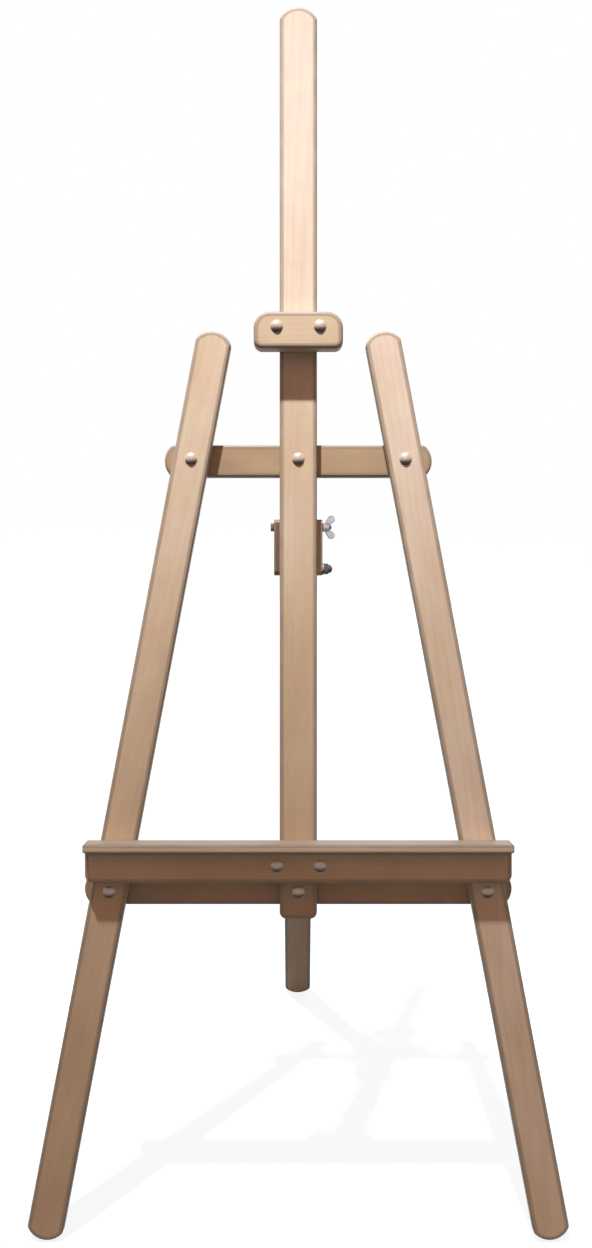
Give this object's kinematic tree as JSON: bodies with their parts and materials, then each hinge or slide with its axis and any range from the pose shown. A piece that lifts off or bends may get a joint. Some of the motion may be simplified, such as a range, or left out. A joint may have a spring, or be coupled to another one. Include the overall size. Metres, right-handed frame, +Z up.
{
  "type": "wooden artist easel",
  "caption": "Folding wooden artist easel: a tall mast between splayed front legs, a hinged rear leg, a sliding tray and a sliding clamp that hold a canvas.",
  "frame": {"origin": "on the floor, under the middle of the easel's bounding box", "axes": "+Z up; +X to the easel's right as seen from the front; the front, where the canvas stands, faces -Y, and the rear leg reaches towards +Y"},
  "size_m": [0.726, 0.6144, 1.6077],
  "materials": {
    "wood": "pale sanded softwood, matt",
    "zinc_plated_steel": "bright zinc plate",
    "blackened_steel": "blackened, satin"
  },
  "bodies": {
    "front_frame": {"mast": "wood", "front_leg_right": "wood", "front_leg_left": "wood", "upper_crossbar": "wood", "lower_crossbar": "wood", "frame_bolts": "zinc_plated_steel", "frame_washers": "zinc_plated_steel", "frame_nuts": "zinc_plated_steel", "hinge_spacer": "wood", "spacer_screws": "zinc_plated_steel", "hinge_cheek_right": "wood", "hinge_cheek_left": "wood", "cheek_bolt": "blackened_steel", "cheek_bolt_washer": "zinc_plated_steel", "cheek_bolt_nut": "blackened_steel", "hinge_bolt": "zinc_plated_steel", "hinge_washers": "zinc_plated_steel"},
    "rear_leg": {"rear_leg": "wood"},
    "hinge_wing_nut": {"hinge_wing_nut": "zinc_plated_steel"},
    "clamp": {"clamp_front_block": "wood", "clamp_rear_block": "wood", "clamp_bolts": "zinc_plated_steel", "clamp_washers": "zinc_plated_steel"},
    "clamp_wing_nut_left": {"clamp_wing_nut_left": "zinc_plated_steel"},
    "clamp_wing_nut_right": {"clamp_wing_nut_right": "zinc_plated_steel"},
    "tray": {"tray_ledge": "wood", "tray_apron": "wood", "tray_rear_block": "wood", "tray_bolts": "zinc_plated_steel", "tray_washers": "zinc_plated_steel"},
    "tray_wing_nut_left": {"tray_wing_nut_left": "zinc_plated_steel"},
    "tray_wing_nut_right": {"tray_wing_nut_right": "zinc_plated_steel"}
  },
  "joints": [
    {"name": "rear_leg_swing", "type": "hinge", "parent": "front_frame", "child": "rear_leg", "pos_m": [0, -0.01158, 0.92092], "axis": [1, 0, 0], "range_deg": [-32.7, 5.3]},
    {"name": "hinge_wing_nut_spin", "type": "hinge", "parent": "front_frame", "child": "hinge_wing_nut", "pos_m": [0, -0.01158, 0.92092], "axis": [1, 0, 0], "continuous": true},
    {"name": "clamp_slide", "type": "slide", "parent": "front_frame", "child": "clamp", "axis": [0, 0.2419, 0.9703], "range_m": [-0.13, 0.41]},
    {"name": "clamp_wing_nut_left_spin", "type": "hinge", "parent": "clamp", "child": "clamp_wing_nut_left", "pos_m": [-0.0286, 0.02216, 1.17737], "axis": [0, 0.9703, -0.2419], "continuous": true},
    {"name": "clamp_wing_nut_right_spin", "type": "hinge", "parent": "clamp", "child": "clamp_wing_nut_right", "pos_m": [0.0286, 0.02216, 1.17737], "axis": [0, 0.9703, -0.2419], "continuous": true},
    {"name": "tray_slide", "type": "slide", "parent": "front_frame", "child": "tray", "axis": [0, 0.2419, 0.9703], "range_m": [0, 0.36]},
    {"name": "tray_wing_nut_left_spin", "type": "hinge", "parent": "tray", "child": "tray_wing_nut_left", "pos_m": [-0.0286, -0.15016, 0.48623], "axis": [0, 0.9703, -0.2419], "continuous": true},
    {"name": "tray_wing_nut_right_spin", "type": "hinge", "parent": "tray", "child": "tray_wing_nut_right", "pos_m": [0.0286, -0.15016, 0.48623], "axis": [0, 0.9703, -0.2419], "continuous": true}
  ]
}
